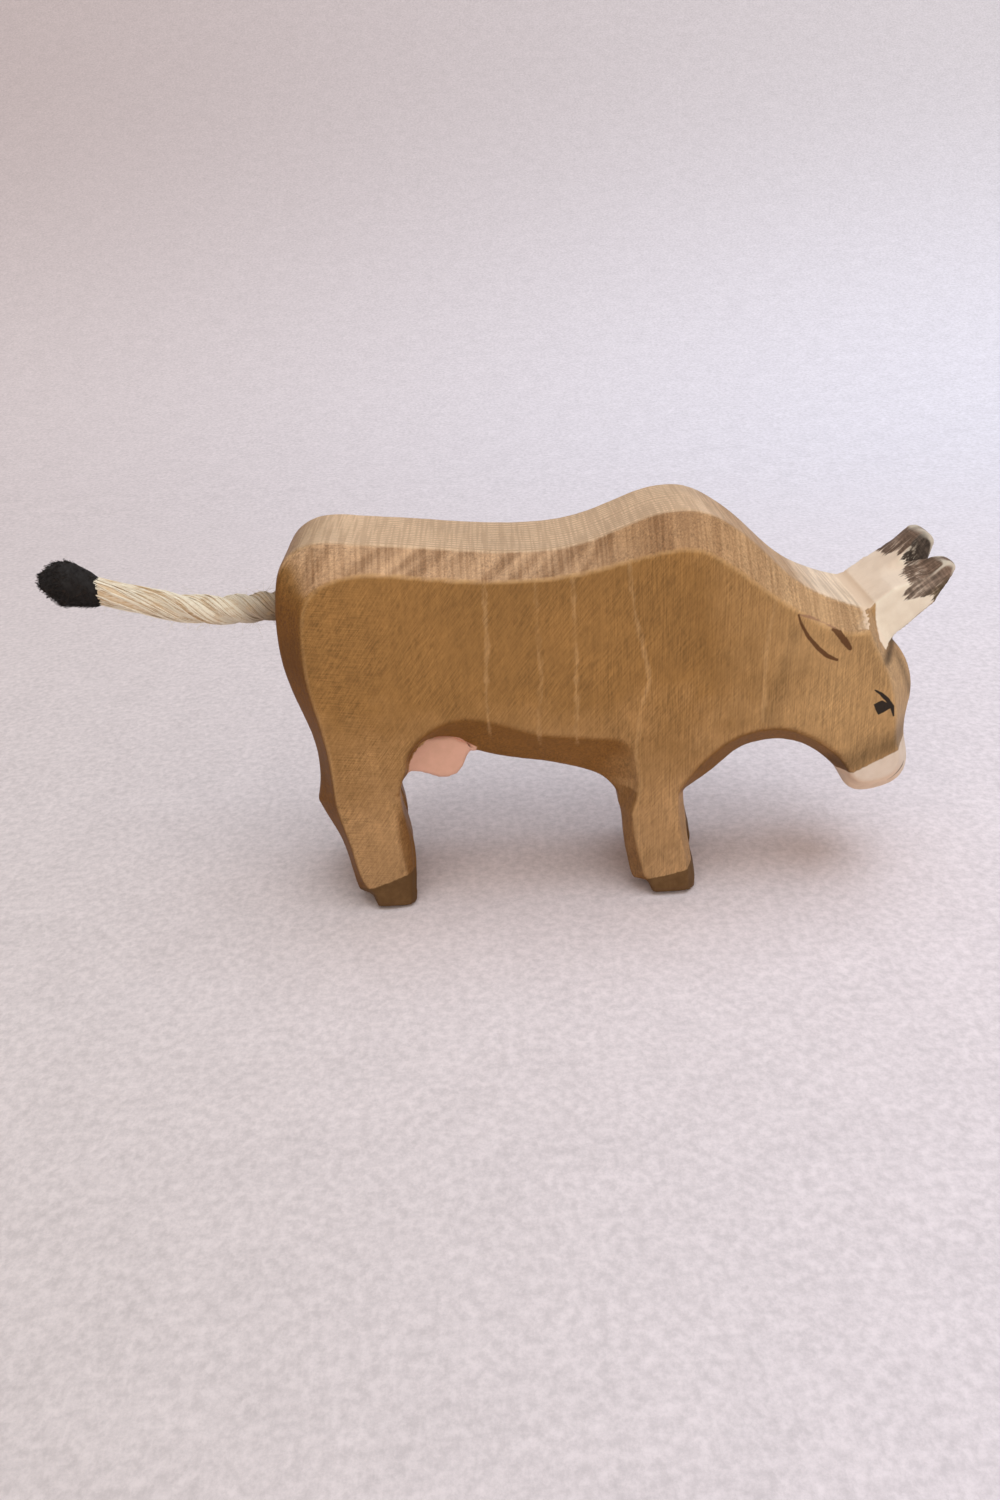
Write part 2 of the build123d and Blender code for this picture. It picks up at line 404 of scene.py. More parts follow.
def buildHairs(s, r, stations, name):
    chance = random.Random(s["seed"])
    bm = bmesh.new()
    layer = bm.verts.layers.float.new("fibreTone")
    count = len(stations) - 1
    steps = [k / 6 for k in range(7)]
    for _ in range(s["count"]):
        share = chance.random() ** 1.7 * 0.97
        i = int(share * count)
        place, along, up, side = stations[i]
        strand = chance.randint(0, 2)
        angle = chance.uniform(-1.2, 1.2)
        root = strandPoint(r, stations[i], strand, i / count, angle, 0.98)
        out = (root - place).normalized()
        length = s["longest"] * chance.uniform(0.25, 1.0) * (1 - 0.55 * share)
        lean = along * chance.uniform(-1.0, 1.0) + out * chance.uniform(0.15, 0.75)
        lean = (lean + anyWay(chance, 0.3)).normalized()
        bend = anyWay(chance, 1) * 0.35 + Vector((0, 0, -0.1))
        places = [root + (lean * step + bend * step * step) * length for step in steps]
        radii = [s["radius"] * (1 - 0.6 * step) for step in steps]
        addTube(bm, places, radii, 3, [chance.uniform(0.5, 1.0)] * len(steps), layer)
    return pieceFrom(bm, name)


hairs = buildHairs(ropeHairs, tailRope, ropeStations, "tailHairs")
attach(hairs, "root")


# The black frayed end
tuft = {
    "rings": [  # x, height and half height of each ring, in millimetres
        (-101.6, 70.9, 1.9),
        (-102.5, 71.1, 2.75),
        (-103.6, 71.5, 3.25),
        (-105.2, 72.1, 3.75),
        (-106.8, 72.8, 4.3),
        (-108.4, 73.0, 4.5),
        (-110.0, 73.1, 4.15),
        (-111.6, 73.4, 3.3),
        (-113.0, 73.7, 2.1),
        (-113.8, 73.9, 1.1),
    ],
    "rows": 40,
    "sides": 56,
    "rough": 0.0003,
    # painted shade in the gaps between the fibres
    "heartShadeTone": 0.2,
    "fibres": 1500,
    "fibreRadius": 0.000075,
    "fibreLength": 0.0015,
    "shortReach": 2.5,  # fibres this near the end, in millimetres, are shorter
    "shorter": 0.6,
    "seed": 7,
}


def tuftRadius(s, x):  # middle height and half height at x, between the rings
    rings = s["rings"]
    for a, b in zip(rings, rings[1:]):
        if b[0] <= x <= a[0]:
            share = (a[0] - x) / (a[0] - b[0])
            return a[1] + (b[1] - a[1]) * share, a[2] + (b[2] - a[2]) * share
    return rings[-1][1], rings[-1][2]


def tuftPoint(s, x, angle):
    middle, half = tuftRadius(s, x)
    place = Vector((x, half * 0.96 * math.cos(angle), middle + half * math.sin(angle))) * mm
    lump = noise.noise(place * 420) * 0.6 + noise.noise(place * 1100) * 0.5
    out = Vector((0, math.cos(angle), math.sin(angle)))
    return place + out * lump * s["rough"], out


def buildTuft(s, name):
    chance = random.Random(s["seed"])
    bm = bmesh.new()
    layer = bm.verts.layers.float.new("fibreTone")
    first, last = s["rings"][0][0], s["rings"][-1][0]
    rings = []
    for i in range(s["rows"] + 1):
        x = first + (last - first) * i / s["rows"]
        points = [tuftPoint(s, x, 2 * math.pi * k / s["sides"])[0] for k in range(s["sides"])]
        rings.append(addRing(bm, layer, points, s["heartShadeTone"]))
    skin(bm, rings)
    for _ in range(s["fibres"]):
        x = first + (last - first) * chance.random()
        angle = chance.uniform(0, 2 * math.pi)
        root, out = tuftPoint(s, x, angle)
        around = Vector((0, -math.sin(angle), math.cos(angle)))
        lean = Vector((-1, 0, 0)) * chance.uniform(0.2, 1.0) + around * chance.uniform(-0.7, 0.7)
        lean = (lean.normalized() + out * chance.uniform(-0.05, 0.32)).normalized()
        length = s["fibreLength"] * chance.uniform(0.35, 1.0)
        if x < last + s["shortReach"]:
            length *= s["shorter"]
        curl = anyWay(chance, 1) * 0.25
        places = [root + (lean * k / 3 + curl * (k / 3) ** 2) * length for k in range(4)]
        radii = [s["fibreRadius"] * (1 - 0.5 * k / 3) for k in range(4)]
        addTube(bm, places, radii, 3, [chance.random()] * 4, layer)
    return pieceFrom(bm, name)


blackTuft = buildTuft(tuft, "tailTuft")
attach(blackTuft, "root")
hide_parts("tail_tuft")
print("tail finished")


# The carved block, with the knife's soft edges, in millimetres
carvedCow = {
    "voxel": 0.58,
    "smoothing": 3,
    "waver": 0.1,  # how uneven the knife left the faces
    "waverSize": 9.0,
    "edgeReach": 1,  # rounds of spreading that widen the worn edges
    "plankHalf": 15.0,
    "hindLegs": -36,  # the hind legs are behind this, the front ones between the next two
    "frontLegs": (-6, 24),
    "hindSlot": 29.0,
    "frontSlot": 21.5,
    "farHindBack": 3.4,
    "farFrontForward": 2.3,
    "moveShare": 0.25,  # of the slot's height, within which a far leg moves over
    "calfHeights": (0, 3, 10, 16, 21, 25, 28),
    "calfWider": (0.5, 1.0, 1.6, 2.0, 2.2, 0.8, 0.0),
    "hoofWider": 0.8,
    "toeFront": -44.4,
    "toeWidth": 5.7,
    "toeDepth": 1.1,
    "hornRoot": (50.008, 62.748),
    "hornLean": 37.1,
    "hornUnder": -10,  # lowest points that count as horn, below its upper face
    "notchFrom": (-8.5, -4.2, 0.0, 4.2, 8.5),
    "notchMoves": (0.0, -0.2, -1.2, -2.2, 0.0),
    "notchDeeper": 2.0,
    "ridgeFrom": 6.2,  # the prongs' outer ridges fall away beyond this far from the middle
    "ridgeFall": 0.25,
    "tipRounds": 3,
    "farTipHigher": 1.1,
    "farTipLonger": 0.6,
    "nearTipLower": 2.1,
    "udderHalf": 11.0,
    "udderTop": 36.7,
    "udderPlaces": (-42, -40.5, -33.5, -31, -29.5),
    "udderLifts": (0, 3.8, 3.8, 2.0, 0),
}


def fade(value, start, end):  # 0 at start and 1 at end
    return np.clip((value - start) / (end - start), 0.0, 1.0)


def readPoints(mesh, what="co"):
    values = np.empty(len(mesh.vertices) * 3)
    mesh.vertices.foreach_get(what, values)
    return values.reshape(-1, 3)


def writePoints(mesh, points):
    mesh.vertices.foreach_set("co", (points * mm).ravel())
    mesh.update()


def refinedMesh(s):
    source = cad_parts["wooden_body"].data.copy()
    bm = bmesh.new()
    bm.from_mesh(source)
    bmesh.ops.remove_doubles(bm, verts=bm.verts, dist=1e-6)
    bm.to_mesh(source)
    bm.free()
    holder = newObject("block", source)
    remesh = holder.modifiers.new("remesh", "REMESH")
    remesh.mode = "VOXEL"
    remesh.voxel_size = s["voxel"] * mm
    soften = holder.modifiers.new("soften", "SMOOTH")
    soften.factor = 0.5
    soften.iterations = s["smoothing"]
    bpy.context.view_layer.update()
    graph = bpy.context.evaluated_depsgraph_get()
    mesh = bpy.data.meshes.new_from_object(holder.evaluated_get(graph))
    bpy.data.objects.remove(holder)
    return mesh


def reshapeLegs(s, points):  # broader calf and hooves, far feet set apart, toes pared
    x, y, z = points.T
    towardsFar = np.clip(y / (2 * s["plankHalf"] - 6) + 0.5, 0, 1)
    low = fade(z, 3.5, 0.5)
    forward = s["farFrontForward"] * fade(z, s["frontSlot"], s["frontSlot"] * (1 - s["moveShare"]))
    wider = np.interp(z, s["calfHeights"], s["calfWider"]) * fade(x, 11, 3)
    front = forward * towardsFar - wider + s["hoofWider"] * low * fade(x, 11, 15)
    drop = 1 - z / s["hindSlot"]
    already = np.clip(2 * drop, 0, 1)
    back = s["farHindBack"] * (np.clip(drop / s["moveShare"], 0, 1) - already)
    hind = s["hoofWider"] * low * (fade(x, -49, -45) - fade(x, -49, -52)) - back * towardsFar
    first, last = s["frontLegs"]
    x = x + np.where((x > first) & (x < last) & (z < 30), front, 0)
    x = x + np.where((x < s["hindLegs"]) & (z < s["hindSlot"]), hind, 0)
    width = s["toeWidth"] * (1 - 0.88 * np.clip(z / s["hindSlot"], 0, 1))
    begin = s["toeFront"] - s["farHindBack"] * (y > 0) - width
    limit = s["plankHalf"] - s["toeDepth"] / s["toeWidth"] * (x - begin)
    toe = (x < s["hindLegs"]) & (x > begin) & (z < s["hindSlot"])
    y = np.where(toe, np.sign(y) * np.minimum(np.abs(y), limit), y)
    return np.column_stack((x, y, z))


def hornPlaces(s, points):  # along the horns, across the plank, out of the horns' upper face
    lean = math.radians(s["hornLean"])
    dx = points[:, 0] - s["hornRoot"][0]
    dz = points[:, 2] - s["hornRoot"][1]
    along = dx * math.cos(lean) + dz * math.sin(lean)
    return along, points[:, 1], dz * math.cos(lean) - dx * math.sin(lean)


def reshapeHorns(s, points):  # the notch is deeper and off the middle, the prongs' ridges fall away
    along, y, height = hornPlaces(s, points)
    lean = math.radians(s["hornLean"])
    onHorn = (along > 5) & (height > s["hornUnder"])
    inNotch = np.clip(1 - np.abs(y) / s["notchFrom"][3], 0, 1)
    movedAlong = along - s["notchDeeper"] * inNotch * fade(along, 6.5, 12.5)
    farTip = fade(along, 8, 17) * fade(y, -1, 4)
    movedAlong = movedAlong + s["farTipLonger"] * farTip
    movedY = y + np.interp(y, s["notchFrom"], s["notchMoves"]) * fade(along, 8, 12)
    beyond = np.clip(np.abs(movedY) - s["ridgeFrom"], 0, None)
    ceiling = -s["ridgeFall"] * fade(along, 6, 12) * beyond
    movedHeight = np.where(beyond > 0, np.minimum(height, np.maximum(ceiling, -3)), height)
    nearTip = fade(along, 5.4, 12.6) * fade(y, 0.5, -2.5) * fade(height, -8, -1)
    movedHeight = movedHeight + s["farTipHigher"] * farTip - s["nearTipLower"] * nearTip
    x = s["hornRoot"][0] + movedAlong * math.cos(lean) - movedHeight * math.sin(lean)
    z = s["hornRoot"][1] + movedAlong * math.sin(lean) + movedHeight * math.cos(lean)
    moved = np.column_stack((x, movedY, z))
    return np.where(onHorn[:, None], moved, points)


def fillUdder(s, points):  # the udder, brought out to the belly's edge and up to the belly
    x, y, z = points.T
    depth = np.abs(y)
    half = depth[(x > -41) & (x < -32) & (z < 33.5)].max()
    onUdder = np.where(x > -40.8, z < s["udderTop"], fade(z, 38.2, 37.2))
    share = fade(x, -45, -44) * fade(x, -28.5, -30.5) * onUdder
    out = (s["udderHalf"] - half) * share * fade(depth, 0.5 * half, 0.92 * half)
    out = out * fade(depth, s["udderHalf"] + 1.5, half + 0.2)
    lift = np.interp(x, s["udderPlaces"], s["udderLifts"]) * fade(z, 32.5, 35.2)
    lift = lift * (z < s["udderTop"]) * (depth < s["udderHalf"] + 0.5)
    return np.column_stack((x, np.sign(y) * (depth + out), z + lift))


def roundTips(s, mesh):
    along, _, height = hornPlaces(s, readPoints(mesh) / mm)
    tips = np.flatnonzero((along > 9) & (height > s["hornUnder"]))
    bm = bmesh.new()
    bm.from_mesh(mesh)
    bm.verts.ensure_lookup_table()
    chosen = [bm.verts[i] for i in tips]
    for _ in range(s["tipRounds"]):
        bmesh.ops.smooth_vert(bm, verts=chosen, factor=0.5, use_axis_x=True, use_axis_y=True,
                              use_axis_z=True)
    bm.to_mesh(mesh)
    bm.free()


def waver(s, mesh):  # uneven knife work, and nothing below the floor
    points, normals = readPoints(mesh) / mm, readPoints(mesh, "normal")
    lift = np.empty(len(points))
    for i, place in enumerate(points / s["waverSize"]):
        place = Vector(place)
        lift[i] = noise.noise(place) + 0.35 * noise.noise(place * 2.7 + Vector((9, 3, 5)))
    points += normals * (lift * s["waver"])[:, None]
    points[:, 2] = np.maximum(points[:, 2], 0)
    writePoints(mesh, points)


def meanOfNeighbours(values, links):
    total = np.zeros_like(values)
    count = np.zeros(len(values))
    for a, b in ((0, 1), (1, 0)):
        np.add.at(total, links[:, a], values[links[:, b]])
        np.add.at(count, links[:, a], 1)
    return total / (count[:, None] if values.ndim > 1 else count)


def proudness(s, mesh):  # how far each point stands out from its neighbours
    links = np.empty(len(mesh.edges) * 2, dtype=np.int32)
    mesh.edges.foreach_get("vertices", links)
    links = links.reshape(-1, 2)
    points = readPoints(mesh) / mm
    away = points - meanOfNeighbours(points, links)
    edge = np.sum(away * readPoints(mesh, "normal"), axis=1) / s["voxel"]
    for _ in range(s["edgeReach"]):
        edge = 0.5 * edge + 0.5 * meanOfNeighbours(edge, links)
    return edge


def carve(s):
    mesh = refinedMesh(s)
    mesh.name = "carvedCow"
    points = reshapeHorns(s, fillUdder(s, reshapeLegs(s, readPoints(mesh) / mm)))
    writePoints(mesh, points)
    roundTips(s, mesh)
    waver(s, mesh)
    smoothFaces(mesh)
    return newObject("carvedCow", mesh)


cow = carve(carvedCow)
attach(cow, "root")
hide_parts("wooden_body")
print("block carved,", len(cow.data.vertices), "points")


# Stain, painted shade and sheen, and paint, first as broad fields on the block's points. Places are side
# views in mm.
woodColoursAndShade = {
    "flank": tone(153, 113, 64),
    "legs": tone(175, 138, 96),
    "neck": tone(179, 142, 96),
    "face": tone(182, 150, 112),
    # painted shade: darker tones for faces that look down, and for the rear faces and the hind shins
    # under the belly
    "under": tone(118, 76, 24),
    "deepShade": tone(106, 64, 14),
    # the rump's top: olive tan with painted satin sheen
    "rumpTopSheen": tone(176, 146, 112),
    # chamfers and back: paler wood, with painted sheen
    "chamfer": tone(201, 163, 126),
    "chamferHump": tone(170, 133, 96),
    "chamferNeck": tone(193, 157, 117),
    "top": tone(219, 187, 153),
    "topNeck": tone(240, 217, 191),
    "paleLine": tone(206, 166, 116),
    "darkLine": tone(120, 84, 52),
    "shades": [  # darker strokes: grain on the neck, a band above the muzzle, painted shadow under the horn, a line down the forehead: from, to, half width, strength
        ((30.5, 41.0), (34.8, 61.0), 1.1, 0.2),
        ((34.0, 46.0), (37.6, 56.0), 0.8, 0.12),
        ((46.0, 29.6), (58.0, 35.6), 2.2, 0.45),
        # painted shadow under the horn
        ((53.6, 53.0), (55.4, 55.8), 0.9, 0.75),
        ((56.0, 53.0), (60.2, 44.0), 0.5, 0.4),
    ],
    "rings": 1.27,
    "ringStrength": 0.46,
    "bandStrength": 0.46,
    "streakStrength": 0.36,
    "markStrength": 0.16,
    "speckStrength": 0.05,
    "fibreStrength": 0.06,
    "calmerOnTop": 0.55,
    "rough": 0.5,
}

paint = {
    "cream": tone(240, 228, 208),
    "creamTop": tone(244, 224, 203),
    "creamThin": tone(226, 200, 174),
    "hornBrown": tone(114, 93, 78),
    "hornGrey": tone(128, 112, 98),
    # painted shade on the notch's inner walls between the prongs
    "hornNotchShade": tone(66, 58, 51),
    "hornLow": tone(96, 82, 62),
    "hoofGrey": tone(94, 68, 40),
    "pink": tone(224, 176, 154),
    "muzzle": tone(224, 207, 190),
    # painted warm shade on the muzzle's underside
    "muzzleUnderShade": tone(228, 200, 172),
    "eye": tone(34, 30, 28),
    "ear": tone(86, 52, 28),
    "earFaint": tone(140, 102, 84),
    "mouth": tone(90, 62, 44),
    "hornShape": [(50.5, 66.6), (75.0, 84.0), (75.0, 73.1), (54.85, 55.9), (53.2, 54.5), (51.35, 57.3),
                  (51.2, 61.1)],
    "udderShape": [(-44.8, 31.0), (-42.9, 34.2), (-41.2, 37.0), (-38.8, 39.1), (-35.9, 39.6),
                   (-32.2, 39.2), (-28.6, 36.6), (-31.0, 30.0), (-34.0, 28.6), (-41.0, 28.6)],
    "udderHalf": 11.4,
    "muzzleLine": ((48.0, 28.0), (58.5, 33.5)),
    "hindHoofLine": ((-53.0, 6.0), (-44.2, 9.0)),
    "frontHoofLine": ((6.9, 4.7), (16.6, 6.8)),
    "frontHoofBack": 6.4,
    "earLow": [(34.8, 63.7, 0.2), (35.4, 61.9, 0.26), (37.0, 59.1, 0.36), (39.2, 56.5, 0.44),
               (41.0, 54.9, 0.46), (43.0, 53.9, 0.28)],
    "earLine": [(34.9, 63.8, 0.13), (37.3, 63.0, 0.31), (39.5, 62.3, 0.33), (42.0, 60.6, 0.28)],
    "earTop": [(41.7, 60.3, 0.28), (42.9, 59.5, 0.61), (44.2, 57.8, 0.67), (45.3, 56.2, 0.44)],
    "lash": [(51.2, 46.9, 0.13), (52.6, 45.9, 0.36), (53.8, 44.7, 0.44), (55.0, 43.0, 0.44),
             (55.5, 41.0, 0.18)],
    "pupil": [(51.2, 43.8), (52.8, 44.6), (54.1, 43.9), (54.8, 42.8), (53.4, 41.9), (52.4, 41.4),
              (51.8, 42.3)],
    "mouthLine": [(56.9, 24.8, 0.08), (58.8, 26.4, 0.31), (59.7, 27.6, 0.33), (60.1, 28.5, 0.1)],
    "streaks": [  # pale mineral streaks down the flank: height and place along the block
        [(36, -15.6), (44, -15.9), (53, -15.0), (61, -15.3), (72, -15.4)],
        [(35, -7.9), (42, -8.3), (50, -8.0), (61, -8.2), (73, -8.3)],
        [(31, 3.3), (43, 4.5), (47.5, 5.2), (51.8, 6.4), (58.6, 5.0), (66, 3.3), (73, 2.6)],
        [(39, 29.1), (46, 29.2), (57, 28.9), (63, 29.7)],
        [(38, -25.6), (49, -26.1), (60, -25.3), (69, -25.2)],
    ],
}


def rgb(colour):
    return np.array(colour[:3])


def layered(base, *layers):  # each layer is a colour and how much of it shows
    for colour, share in layers:
        base = base + (rgb(colour) - base) * share[:, None]
    return base


def beyondLine(x, z, a, b):  # distance to the right of the line from a to b
    length = math.hypot(b[0] - a[0], b[1] - a[1])
    return ((x - a[0]) * (b[1] - a[1]) - (z - a[1]) * (b[0] - a[0])) / length


def outsideShape(x, z, corners):  # corners clockwise; below zero inside
    edges = zip(corners, corners[1:] + corners[:1])
    return np.max([-beyondLine(x, z, a, b) for a, b in edges], axis=0)


def strokeAway(x, z, a, b):  # distance from the line between a and b
    dx, dz = b[0] - a[0], b[1] - a[1]
    share = np.clip(((x - a[0]) * dx + (z - a[1]) * dz) / (dx * dx + dz * dz), 0, 1)
    return np.hypot(x - a[0] - share * dx, z - a[1] - share * dz)


def cloudiness(points):  # broad unevenness, about -1 to 1
    sizes = ((0.06, 1.0), (0.15, 0.5), (0.4, 0.3))
    values = np.empty(len(points))
    for i, place in enumerate(points):
        values[i] = sum(share * noise.noise(Vector(place) * scale) for scale, share in sizes)
    return values


def stainAndShadeField(w, points, normals, cloud):
    x, y, z = points.T
    ahead, upward = normals[:, 0], normals[:, 2]
    # painted shade on rear faces at the rump and legs, and on the hind shins under the belly
    rearShade = np.maximum(fade(x, -30, -40), 0.6 * (z < 26) * (x < 12))
    shinShade = fade(ahead, 0.25, 0.5) * fade(np.abs(x + 44), 6, 4) * fade(z, 27, 22)
    colour = layered(
        rgb(w["flank"]),
        (w["legs"], fade(z - 9 * cloud, 50, 12)),
        (w["neck"], fade(x + 6 * cloud, 14, 44)),
        (w["face"], fade(ahead, 0.25, 0.6) * fade(x, 40, 50)),
        # painted shade on faces that look down and back
        (w["under"], fade(upward, -0.1, -0.4) * 0.85),
        (w["deepShade"], fade(ahead, -0.4, -0.7) * rearShade * 0.9),
        (w["deepShade"], shinShade * 0.75),
    )
    # chamfers and back paler, with painted sheen
    chamfer = layered(
        rgb(w["chamfer"]),
        (w["chamferHump"], fade(x + 6 * cloud, -14, 4)),
        (w["chamferNeck"], fade(x + 3 * cloud, 14, 30)),
    )
    onChamfer = fade(upward, 0.32, 0.48)
    colour += (chamfer - colour) * onChamfer[:, None]
    top = layered(rgb(w["top"]), (w["topNeck"], fade(x, 18, 44)))
    onTop = fade(upward, 0.8, 0.92)
    colour += (top - colour) * onTop[:, None]
    onTop = onTop * fade(x, 60, 50)
    # olive tan with painted satin sheen on the rump's top
    colour = layered(colour, (w["rumpTopSheen"], fade(x, -54, -61) * fade(upward, 0.25, 0.8) * 0.8))
    uneven = 1 + 0.15 * cloud
    # broad unevenness, darker grain strokes, and painted shadow under the horn
    for a, b, half, strength in w["shades"]:
        uneven *= 1 - strength * fade(strokeAway(x, z, a, b), 2.0 * half, 0.3 * half) * (z < 64)
    return colour * uneven[:, None], onChamfer * (1 - onTop), onTop


def paintFields(p, s, points, normals):  # the paint's colour, and the distance to its border
    x, y, z = points.T
    upward, sideways = normals[:, 2], np.abs(normals[:, 1])
    udder = np.maximum(outsideShape(x, z, p["udderShape"]), np.abs(y) - p["udderHalf"])
    muzzle = np.maximum(-beyondLine(x, z, *p["muzzleLine"]), 45 - x)
    hindHoof = np.where(x < s["hindLegs"], -beyondLine(x, z, *p["hindHoofLine"]), 9)
    frontHoof = np.maximum(-beyondLine(x, z, *p["frontHoofLine"]), p["frontHoofBack"] - x)
    first, last = s["frontLegs"]
    frontHoof = np.where((x > first) & (x < last) & (z < 20), frontHoof, 9)
    horn = outsideShape(x, z, p["hornShape"])
    nape = np.where((upward > 0.7) & (x > 40) & (x < 51), (48.5 - x) * 0.3, 9)
    above = fade(sideways, 0.7, 0.4)[:, None]
    cream = rgb(p["cream"]) * (1 - above) + rgb(p["creamTop"]) * above
    # the muzzle's underside in a warmer cream: painted shade
    under = fade(upward, -0.1, -0.5)[:, None]
    snout = rgb(p["muzzle"]) * (1 - under) + rgb(p["muzzleUnderShade"]) * under
    plain = np.ones((len(x), 3))
    hooves = plain * rgb(p["hoofGrey"])
    areas = [(udder, plain * rgb(p["pink"])), (muzzle, snout), (hindHoof, hooves),
             (frontHoof, hooves), (horn, cream), (nape, plain * rgb(p["creamThin"]))]
    nearest = np.argmin([reach for reach, _ in areas], axis=0)
    reach = np.min([reach for reach, _ in areas], axis=0)
    colour = np.choose(nearest[:, None], [tones for _, tones in areas])
    return colour, np.clip(reach, -9, 9)


def tipFields(p, s, points, normals):  # brown horn tips: colour, and distance to their ragged border
    along, y, height = hornPlaces(s, points)
    sideways = np.abs(normals[:, 1])
    middle = fade(np.abs(y - 0.3), 4.2, 2.4) * fade(height, -2.5, -1.0) * 1.9
    low = fade(np.abs(height + 3.2), 2.2, 1.0) * fade(y, -7.2, -8.2) * 2.2
    begin = 8.9 + middle - low + fade(height, -4.5, -6.5) * fade(y, -7, -8) * 1.6
    near = fade(sideways, 0.45, 0.75) * fade(height, -8.0, -4.5) * fade(y, -6, -7.5)
    # painted shade on the inner walls of the notch
    notchWalls = fade(np.abs(y + 1.2), 4.8, 3.8) * fade(sideways, 0.3, 0.6) * fade(along, 9.5, 11.0)
    colour = layered(
        rgb(p["hornBrown"]),
        (p["hornGrey"], near * fade(along, 16.5, 12.5)),
        (p["hornLow"], fade(y, -7, -8) * fade(height, -5.0, -6.5)),
        (p["hornNotchShade"], notchWalls * 0.9),
    )
    reach = np.where((along > 4) & (height > -11), begin - along, 9)
    return colour, np.clip(reach, -9, 9)


def markShares(points):  # how strongly the slanting, level and upright sanding marks show
    x = points[:, 0]
    slanting = 1 - 0.5 * fade(x, -6, 30)
    level = 0.12 + 0.9 * fade(x, -40, -54)
    upright = 0.25 + 0.8 * fade(x, -14, 6)
    return np.column_stack((slanting, level, upright))


def paleEdgeShares(normals):  # how much pale line the flat side's edges get, part wear and part painted highlight: above most, at the rump a little
    beside = fade(np.abs(normals[:, 1]), 0.62, 0.78)
    worn = np.maximum(0.6 * fade(normals[:, 2], 0.08, 0.25), 0.3 * fade(normals[:, 0], -0.1, -0.3))
    return beside * worn


def addField(mesh, name, values):
    kind, slot = ("FLOAT", "value") if values.ndim == 1 else ("FLOAT_VECTOR", "vector")
    field = mesh.attributes.new(name, kind, "POINT")
    field.data.foreach_set(slot, values.astype(np.float32).ravel())


def addFields(w, p, s, mesh):
    points, normals = readPoints(mesh) / mm, readPoints(mesh, "normal")
    tinting, onChamfer, onTop = stainAndShadeField(w, points, normals, cloudiness(points))
    onSide = fade(np.abs(normals[:, 1]), 0.7, 0.95)
    paintTone, paintReach = paintFields(p, s, points, normals)
    tipTone, tipReach = tipFields(p, s, points, normals)
    fields = {
        "edgeProudness": proudness(s, mesh),
        "paleEdgeShare": paleEdgeShares(normals),
        # stained wood, with painted shade on faces that look down and back, and painted sheen on the
        # back and chamfers
        "tinting": tinting,
        "faces": np.column_stack((onTop, onChamfer, onSide)),
        "markShares": markShares(points),
        "paintTone": paintTone,
        "paintReach": paintReach,
        "tipTone": tipTone,
        "tipReach": tipReach,
        "hornPlace": np.column_stack(hornPlaces(s, points)),
    }
    for name, values in fields.items():
        addField(mesh, name, values)


addFields(woodColoursAndShade, paint, carvedCow, cow.data)
print("stain laid out")


# Shader groups that several finishes share
def makeStroke():  # distance to one straight length of a brush stroke, below zero inside it
    tree, given, result = newGroup(
        "brushStroke", ("Place", "Start", "End"), ("Start Width", "End Width"), "Distance")
    fromStart = vectors(tree, "SUBTRACT", given["Place"], given["Start"])[0]
    whole = vectors(tree, "SUBTRACT", given["End"], given["Start"])[0]
    dot = vectors(tree, "DOT_PRODUCT", fromStart, whole)["Value"]
    square = vectors(tree, "DOT_PRODUCT", whole, whole)["Value"]
    share = maths(tree, "DIVIDE", dot, square, clamp=True)
    reached = addNode(tree, "VectorMath", {0: whole, "Scale": share}, operation="SCALE").outputs[0]
    away = vectors(tree, "LENGTH", vectors(tree, "SUBTRACT", fromStart, reached)[0])["Value"]
    wider = minus(tree, given["End Width"], given["Start Width"])
    half = timesPlus(tree, wider, share, given["Start Width"])
    tree.links.new(minus(tree, away, half), result)
    return tree


def makePaintEdge():  # covers where the distance is below zero, with a brushed border
    tree, given, result = newGroup(
        "paintEdge", (), ("Distance", "Brushing", "Raggedness", "Softness"), "Cover")
    shift = times(tree, minus(tree, given["Brushing"], 0.5), given["Raggedness"])
    moved = plus(tree, given["Distance"], shift)
    share = maths(tree, "DIVIDE", moved, given["Softness"])
    tree.links.new(ramp(tree, share, 1.0, -1.0), result)
    return tree


def makeScratches():  # short hairlines that sandpaper left, leaning one way
    tree, given, result = newGroup(
        "sandingMarks", ("Place",), ("Lean", "Length", "Fineness", "Seed"), "Marks")
    turn = addNode(tree, "CombineXYZ", {"Y": given["Lean"]}).outputs[0]
    turned = addNode(tree, "VectorRotate", {"Vector": given["Place"], "Rotation": turn},
                     rotation_type="EULER_XYZ").outputs[0]
    longWay = maths(tree, "DIVIDE", 1.0, given["Length"])
    factors = addNode(tree, "CombineXYZ", {"X": given["Fineness"], "Y": given["Fineness"], "Z": longWay})
    stretched = vectors(tree, "MULTIPLY", turned, factors.outputs[0])[0]
    start = addNode(tree, "CombineXYZ", {"X": given["Seed"], "Z": given["Seed"]}).outputs[0]
    shifted = vectors(tree, "ADD", stretched, start)[0]
    found = noiseOf(tree, shifted, 1.0, 2.0, 0.65)
    tree.links.new(ramp(tree, found, 0.34, 0.66, -1.0, 1.0), result)
    return tree


strokeGroup = makeStroke()
paintEdgeGroup = makePaintEdge()
scratchGroup = makeScratches()


def readField(tree, name, output="Fac"):
    return addNode(tree, "Attribute", attribute_name=name).outputs[output]


def splitField(tree, name):
    return split(tree, readField(tree, name, "Vector"))


def covers(tree, distance, brushing, ragged, soft):
    inputs = {"Distance": distance, "Brushing": brushing, "Raggedness": ragged, "Softness": soft}
    return useGroup(tree, paintEdgeGroup, inputs)["Cover"]


def brightened(tree, colour, share):  # share is added to one, and the colour multiplied by it
    bright = plus(tree, share, 1.0)
    even = addNode(tree, "CombineColor", {"Red": bright, "Green": bright, "Blue": bright}).outputs[0]
    return blendColours(tree, 1.0, colour, even, "MULTIPLY")


